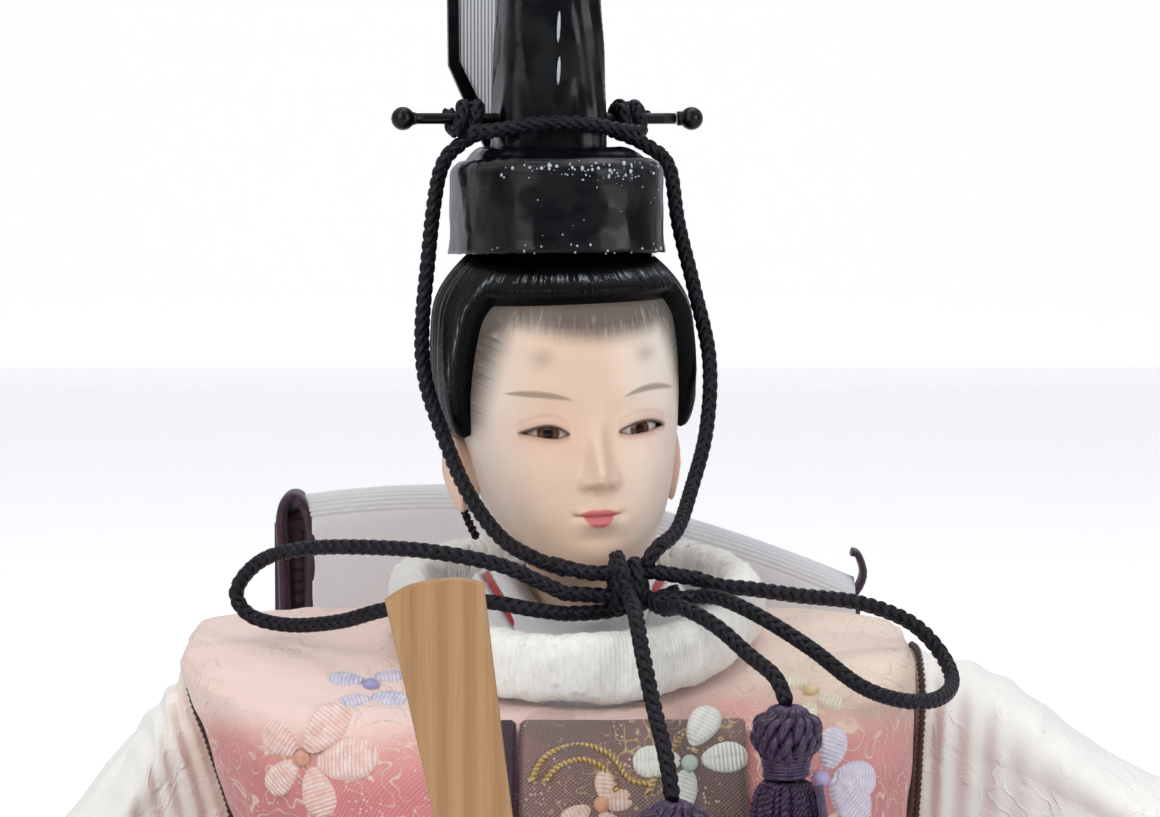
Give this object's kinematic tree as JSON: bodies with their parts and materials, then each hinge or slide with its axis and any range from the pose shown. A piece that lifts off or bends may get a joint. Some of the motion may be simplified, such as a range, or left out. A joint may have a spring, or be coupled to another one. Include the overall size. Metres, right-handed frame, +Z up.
{
  "type": "hina doll",
  "caption": "Seated court doll in brocade robes with a tall lacquered cap, chin cords tied in a tasselled bow, and a flat wooden tablet in its right hand.",
  "frame": {"origin": "on the flat underside, below the neck axis", "axes": "+Z up, the doll faces -Y, +X is the doll's left"},
  "size_m": [0.2565, 0.1366, 0.2449],
  "materials": {
    "black_lacquer": "gloss black lacquer",
    "braided_cord": "black braid with a purple sheen",
    "cream_damask": "cream damask",
    "eye_glass": "polished dark brown",
    "gauze": "stiffened grey gauze",
    "mauve_brocade": "mauve and gold brocade",
    "painted_skin": "painted and buffed, satin",
    "paper_wrap": "iron wire wrapped in paper",
    "pink_brocade": "pink brocade with a soft sheen",
    "plain_wood": "bare fine-grained wood",
    "purple_silk": "dark purple silk",
    "red_silk": "red silk",
    "sock_cotton": "white cotton",
    "straw": "bundled straw",
    "tassel_silk": "dark purple twisted thread",
    "wadding": "cotton wadding",
    "white_crepe": "white crepe",
    "white_silk": "white ribbed silk",
    "wig_silk": "black silk hair"
  },
  "bodies": {
    "torso": {"arm_frame": "paper_wrap", "base_board": "plain_wood", "body_core": "straw", "cuff_left_purple": "purple_silk", "cuff_left_red": "red_silk", "cuff_left_white": "white_silk", "cuff_right_purple": "purple_silk", "cuff_right_red": "red_silk", "cuff_right_white": "white_silk", "foot_left": "sock_cotton", "foot_right": "sock_cotton", "hand_left": "painted_skin", "hand_right": "painted_skin", "panel_trim": "purple_silk", "robe_body": "pink_brocade", "robe_collar": "white_crepe", "robe_front_panel": "mauve_brocade", "robe_skirt_back": "pink_brocade", "robe_skirt_front": "pink_brocade", "sleeve_left": "cream_damask", "sleeve_right": "cream_damask", "torso_padding": "wadding", "train_fold": "white_silk", "train_lining": "purple_silk", "trouser_leg_left": "purple_silk", "trouser_leg_right": "purple_silk", "under_collar_inner": "white_silk", "under_collar_outer": "white_silk", "under_collar_red": "red_silk", "waist_belt": "purple_silk"},
    "neck": {"neck_peg": "plain_wood", "bow_knot": "braided_cord", "bow_loop_left": "braided_cord", "bow_loop_right": "braided_cord", "bow_end_long": "braided_cord", "bow_end_short": "braided_cord", "tassel_head_long": "tassel_silk", "tassel_head_short": "tassel_silk", "tassel_skirt_long": "tassel_silk", "tassel_skirt_short": "tassel_silk"},
    "head": {"head": "painted_skin", "eye_left": "eye_glass", "eye_right": "eye_glass", "hair": "wig_silk", "topknot": "wig_silk", "cap_base": "black_lacquer", "cap_crown": "black_lacquer", "cap_pin": "black_lacquer", "pin_ball_left": "black_lacquer", "tail_socket": "black_lacquer", "cap_front_cord": "braided_cord", "pin_knot_left": "braided_cord", "pin_knot_right": "braided_cord", "chin_cord_left": "braided_cord", "chin_cord_right": "braided_cord"},
    "cap_tail": {"tail_frame": "black_lacquer", "tail_gauze": "gauze"},
    "tablet": {"shaku": "plain_wood"}
  },
  "joints": [
    {"name": "head_lift", "type": "slide", "parent": "torso", "child": "neck", "axis": [0, 0, 1], "range_m": [0, 0.045]},
    {"name": "head_turn", "type": "hinge", "parent": "neck", "child": "head", "pos_m": [0, 0, 0.12], "axis": [0, 0, 1], "range_deg": [-25, 10], "deforming": ["chin_cord_left", "chin_cord_right"]},
    {"name": "tail_lift", "type": "slide", "parent": "head", "child": "cap_tail", "axis": [-0.0109, 0.0512, 0.9986], "range_m": [0, 0.012]},
    {"name": "shaku_slide", "type": "slide", "parent": "torso", "child": "tablet", "axis": [-0.1668, 0, 0.986], "range_m": [0, 0.03]}
  ]
}
